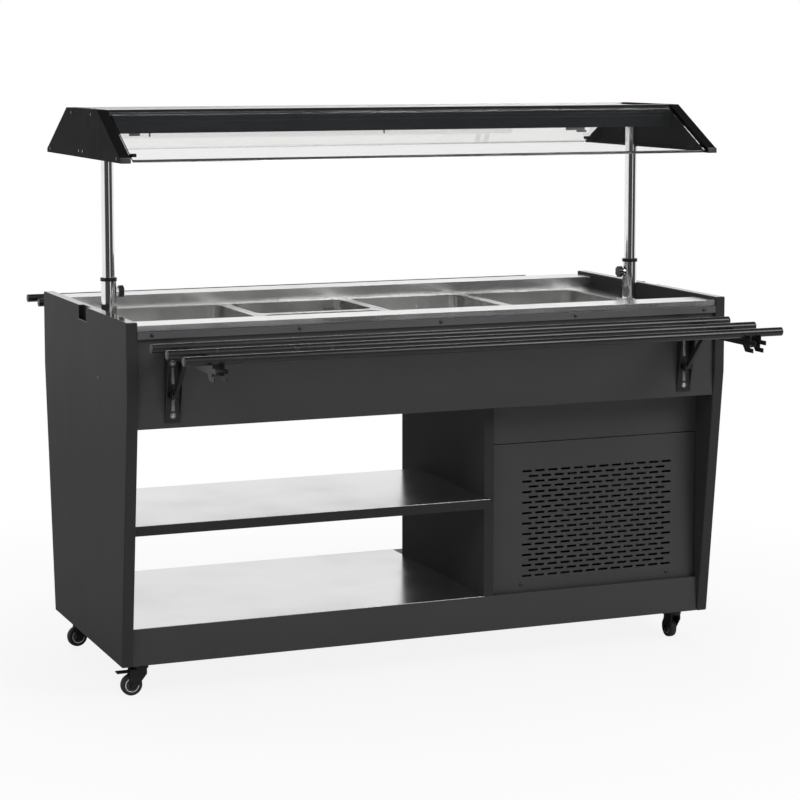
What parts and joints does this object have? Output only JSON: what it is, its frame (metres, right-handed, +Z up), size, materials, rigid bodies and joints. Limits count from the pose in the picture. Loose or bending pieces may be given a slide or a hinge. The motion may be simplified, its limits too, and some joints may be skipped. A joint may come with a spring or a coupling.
{
  "type": "mobile salad bar",
  "caption": "Mobile refrigerated salad bar on castors, with a cold well of lift-out pans, a lit canopy with sloping glass guards, folding tray slides, open shelves and a louvred service door.",
  "frame": {"origin": "on the floor, below the middle of the cabinet", "axes": "+X along the bar to the right, as the customers' front faces -Y; +Z up"},
  "size_m": [1.5, 1.446, 1.33],
  "materials": {
    "laminate_board": "satin",
    "charcoal_coat": "satin",
    "stainless": "satin",
    "stainless_pan": "satin",
    "bumper_grey": "matte",
    "grip_black": "satin",
    "cap_black": "satin",
    "knob_black": "satin",
    "control_black": "satin",
    "switch_black": "gloss",
    "post_chrome": "polished",
    "screw_steel": "satin",
    "roof_aluminium": "satin",
    "roof_pale": "satin",
    "clear_glass": "polished",
    "lamp_white": "gloss",
    "batten_white": "satin",
    "slide_black": "satin",
    "rail_black": "satin",
    "casing_zinc": "matte",
    "foam_cream": "matte",
    "copper_line": "satin",
    "compressor_black": "gloss",
    "fin_aluminium": "satin",
    "motor_black": "satin",
    "fan_plastic": "satin",
    "castor_black": "satin",
    "castor_tyre": "matte",
    "pedal_steel": "satin"
  },
  "bodies": {
    "cabinet": {"end_panel_left": "laminate_board", "end_panel_right": "laminate_board", "grip_cups": "grip_black", "worktop_ledges": "stainless", "well_tank": "stainless", "well_insulation": "foam_cream", "well_casing": "casing_zinc", "refrigerant_circuit": "copper_line", "aprons": "charcoal_coat", "bumper_bars": "bumper_grey", "cabinet_screws": "screw_steel", "pan_support_bars": "stainless", "plinth_frame": "charcoal_coat", "middle_shelf": "charcoal_coat", "shelf_tops": "stainless", "divider_panel": "laminate_board", "service_panel": "charcoal_coat", "louvre_door": "charcoal_coat", "rear_service_panel": "charcoal_coat", "control_plate": "control_black", "compressor": "compressor_black", "condenser": "fin_aluminium", "fan_motor": "motor_black", "post_sleeves": "post_chrome", "slide_wall_plates": "slide_black", "castor_plates": "castor_black"},
    "canopy": {"posts": "post_chrome", "canopy_end_caps": "cap_black", "roof_frame": "roof_aluminium", "roof_sheet": "roof_pale", "lamp_batten": "batten_white", "lamp_tube": "lamp_white"},
    "tray_slide_front": {"tray_rails_front": "rail_black", "slide_arms_front": "slide_black"},
    "tray_slide_rear": {"tray_rails_rear": "rail_black", "slide_arms_rear": "slide_black"},
    "struts_front": {"slide_struts_front": "slide_black"},
    "struts_rear": {"slide_struts_rear": "slide_black"},
    "glass_front": {"glass_front": "clear_glass"},
    "glass_rear": {"glass_rear": "clear_glass"},
    "pan_left": {"pan_left": "stainless_pan"},
    "pan_centre": {"pan_centre": "stainless_pan"},
    "pan_right": {"pan_right": "stainless_pan"},
    "half_pan_front": {"half_pan_front": "stainless_pan"},
    "half_pan_rear": {"half_pan_rear": "stainless_pan"},
    "thermostat_knob": {"thermostat_knob": "knob_black"},
    "power_switch": {"power_switch": "switch_black"},
    "fan_blade": {"fan_blade": "fan_plastic"},
    "clamp_knob_left": {"clamp_knob_left": "knob_black"},
    "clamp_knob_right": {"clamp_knob_right": "knob_black"},
    "brake_pedal_front_left": {"brake_pedal_front_left": "pedal_steel"},
    "brake_pedal_front_right": {"brake_pedal_front_right": "pedal_steel"},
    "castor_fork_front_left": {"castor_fork_front_left": "castor_black"},
    "castor_fork_front_right": {"castor_fork_front_right": "castor_black"},
    "castor_fork_rear_left": {"castor_fork_rear_left": "castor_black"},
    "castor_fork_rear_right": {"castor_fork_rear_right": "castor_black"},
    "castor_wheel_front_left": {"castor_wheel_front_left": "castor_tyre"},
    "castor_wheel_front_right": {"castor_wheel_front_right": "castor_tyre"},
    "castor_wheel_rear_left": {"castor_wheel_rear_left": "castor_tyre"},
    "castor_wheel_rear_right": {"castor_wheel_rear_right": "castor_tyre"}
  },
  "joints": [
    {"name": "canopy_height", "type": "slide", "parent": "cabinet", "child": "canopy", "axis": [0, 0, 1], "range_m": [-0.14, 0]},
    {"name": "glass_front_tilt", "type": "hinge", "parent": "canopy", "child": "glass_front", "pos_m": [0, -0.1425, 1.319], "axis": [-1, 0, 0], "range_deg": [0, 75]},
    {"name": "glass_rear_tilt", "type": "hinge", "parent": "canopy", "child": "glass_rear", "pos_m": [0, 0.1425, 1.319], "axis": [1, 0, 0], "range_deg": [0, 75]},
    {"name": "pan_left_lift", "type": "slide", "parent": "cabinet", "child": "pan_left", "axis": [0, 0, 1], "range_m": [0, 0.25]},
    {"name": "pan_centre_lift", "type": "slide", "parent": "cabinet", "child": "pan_centre", "axis": [0, 0, 1], "range_m": [0, 0.25]},
    {"name": "pan_right_lift", "type": "slide", "parent": "cabinet", "child": "pan_right", "axis": [0, 0, 1], "range_m": [0, 0.25]},
    {"name": "half_pan_front_lift", "type": "slide", "parent": "cabinet", "child": "half_pan_front", "axis": [0, 0, 1], "range_m": [0, 0.25]},
    {"name": "half_pan_rear_lift", "type": "slide", "parent": "cabinet", "child": "half_pan_rear", "axis": [0, 0, 1], "range_m": [0, 0.25]},
    {"name": "thermostat_turn", "type": "hinge", "parent": "cabinet", "child": "thermostat_knob", "pos_m": [0.438, 0.218, 0.585], "axis": [0, 1, 0], "range_deg": [0, 270]},
    {"name": "power_switch_rock", "type": "hinge", "parent": "cabinet", "child": "power_switch", "pos_m": [0.522, 0.212, 0.585], "axis": [0, 0, 1], "range_deg": [-6, 6]},
    {"name": "fan_spin", "type": "hinge", "parent": "cabinet", "child": "fan_blade", "pos_m": [0.56, -0.1865, 0.315], "axis": [0, 1, 0], "continuous": true},
    {"name": "clamp_knob_left_turn", "type": "hinge", "parent": "cabinet", "child": "clamp_knob_left", "pos_m": [-0.661, 0, 0.902], "axis": [1, 0, 0], "range_deg": [0, 270]},
    {"name": "clamp_knob_right_turn", "type": "hinge", "parent": "cabinet", "child": "clamp_knob_right", "pos_m": [0.661, 0, 0.902], "axis": [-1, 0, 0], "range_deg": [0, 270]},
    {"name": "tray_front_fold", "type": "hinge", "parent": "cabinet", "child": "tray_slide_front", "pos_m": [0, -0.383, 0.8], "axis": [1, 0, 0], "range_deg": [0, 90]},
    {"name": "tray_rear_fold", "type": "hinge", "parent": "cabinet", "child": "tray_slide_rear", "pos_m": [0, 0.383, 0.8], "axis": [-1, 0, 0], "range_deg": [0, 90]},
    {"name": "struts_front_fold", "type": "hinge", "parent": "cabinet", "child": "struts_front", "pos_m": [0, -0.383, 0.705], "axis": [1, 0, 0], "range_deg": [0, 135]},
    {"name": "struts_rear_fold", "type": "hinge", "parent": "cabinet", "child": "struts_rear", "pos_m": [0, 0.383, 0.705], "axis": [-1, 0, 0], "range_deg": [0, 135]},
    {"name": "castor_swivel_front_left", "type": "hinge", "parent": "cabinet", "child": "castor_fork_front_left", "pos_m": [-0.69, -0.246, 0.0675], "axis": [0, 0, 1], "continuous": true},
    {"name": "castor_roll_front_left", "type": "hinge", "parent": "castor_fork_front_left", "child": "castor_wheel_front_left", "pos_m": [-0.712, -0.246, 0.025], "axis": [0, 1, 0], "continuous": true},
    {"name": "castor_swivel_front_right", "type": "hinge", "parent": "cabinet", "child": "castor_fork_front_right", "pos_m": [0.69, -0.246, 0.0675], "axis": [0, 0, 1], "continuous": true},
    {"name": "castor_roll_front_right", "type": "hinge", "parent": "castor_fork_front_right", "child": "castor_wheel_front_right", "pos_m": [0.69, -0.224, 0.025], "axis": [1, 0, 0], "continuous": true},
    {"name": "castor_swivel_rear_left", "type": "hinge", "parent": "cabinet", "child": "castor_fork_rear_left", "pos_m": [-0.69, 0.246, 0.0675], "axis": [0, 0, 1], "continuous": true},
    {"name": "castor_roll_rear_left", "type": "hinge", "parent": "castor_fork_rear_left", "child": "castor_wheel_rear_left", "pos_m": [-0.71167, 0.24218, 0.025], "axis": [-0.1736, 0.9848, 0], "continuous": true},
    {"name": "castor_swivel_rear_right", "type": "hinge", "parent": "cabinet", "child": "castor_fork_rear_right", "pos_m": [0.69, 0.246, 0.0675], "axis": [0, 0, 1], "continuous": true},
    {"name": "castor_roll_rear_right", "type": "hinge", "parent": "castor_fork_rear_right", "child": "castor_wheel_rear_right", "pos_m": [0.712, 0.246, 0.025], "axis": [0, -1, 0], "continuous": true},
    {"name": "brake_front_left", "type": "hinge", "parent": "castor_fork_front_left", "child": "brake_pedal_front_left", "pos_m": [-0.71, -0.246, 0.056], "axis": [0, -1, 0], "range_deg": [0, 12]},
    {"name": "brake_front_right", "type": "hinge", "parent": "castor_fork_front_right", "child": "brake_pedal_front_right", "pos_m": [0.69, -0.226, 0.056], "axis": [-1, 0, 0], "range_deg": [0, 12]}
  ],
  "couplings": [
    {"joint": "struts_front_fold", "follows": "tray_front_fold", "ratio": 1.5},
    {"joint": "struts_rear_fold", "follows": "tray_rear_fold", "ratio": 1.5}
  ]
}
